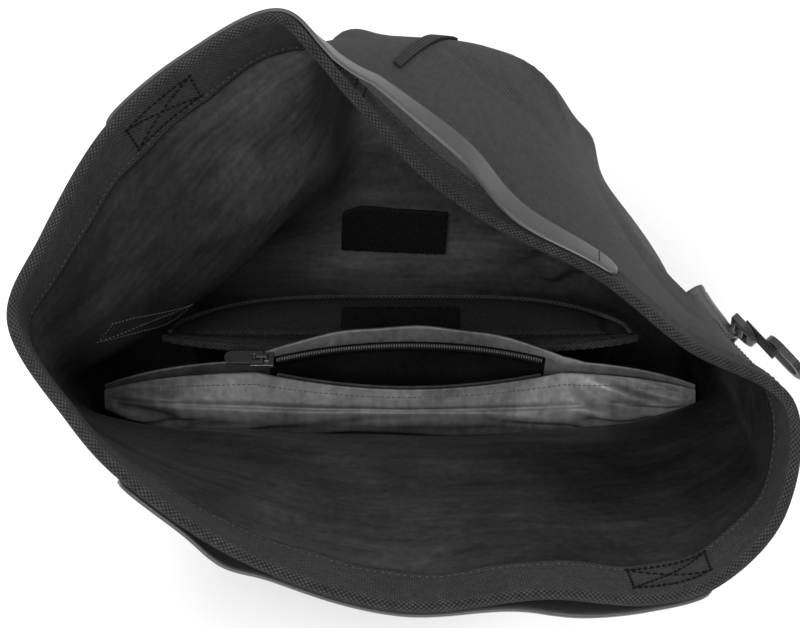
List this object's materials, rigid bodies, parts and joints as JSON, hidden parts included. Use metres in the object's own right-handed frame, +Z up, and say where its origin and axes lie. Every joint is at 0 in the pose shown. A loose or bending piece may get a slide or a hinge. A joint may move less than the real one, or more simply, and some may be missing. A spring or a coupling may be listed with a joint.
{
  "type": "bicycle pannier bag",
  "caption": "Upright roll-top fabric pannier with a wide open slack mouth, bound rim, rubber closing strips, an inner padded panel, a zipped pouch and rack hooks on its back",
  "frame": {"origin": "middle of the flat base the bag stands on", "axes": "+Z up along the bag's height, +Y toward the bicycle rack behind the bag, +X to the right when the front is faced"},
  "size_m": [0.4268, 0.366, 0.5202],
  "materials": {
    "twill": "fine dark grey twill outside, smooth dark lining inside",
    "canvas": "coarse dark grey canvas binding",
    "grip_rubber": "smooth satin rubber",
    "padding": "matte black padded cloth",
    "lining": "thin grey woven lining with a slight sheen",
    "zip_coil": "black nylon coil on a woven tape",
    "zip_metal": "black lacquered zinc",
    "pile": "black hook-and-loop pile",
    "coated": "coated grey fabric",
    "plastic": "moulded dark plastic, satin",
    "webbing": "black ribbed webbing"
  },
  "bodies": {
    "bag": {"bag_body": "twill", "bag_base": "twill", "hem_band": "canvas", "grip_strip_back": "grip_rubber", "grip_strip_front": "grip_rubber", "padded_pocket": "padding", "pocket_binding": "canvas", "zip_pouch": "lining", "zip_tape_rear": "zip_coil", "zip_tape_front": "zip_coil", "zip_slider": "zip_metal", "loop_patch": "pile", "loop_strip": "pile", "back_tab": "webbing", "side_tab_right": "coated", "side_tab_left": "coated", "side_lock_right": "plastic", "side_lock_left": "plastic", "side_webbing_right": "webbing", "side_webbing_left": "webbing", "side_loop_right": "plastic", "side_loop_left": "plastic", "rack_hooks": "plastic"},
    "puller": {"zip_puller": "zip_metal"}
  },
  "joints": [
    {"name": "puller_hinge", "type": "hinge", "parent": "bag", "child": "puller", "pos_m": [-0.074, -0.069, 0.3189], "axis": [0, 1, 0], "range_deg": [0, 170]}
  ]
}
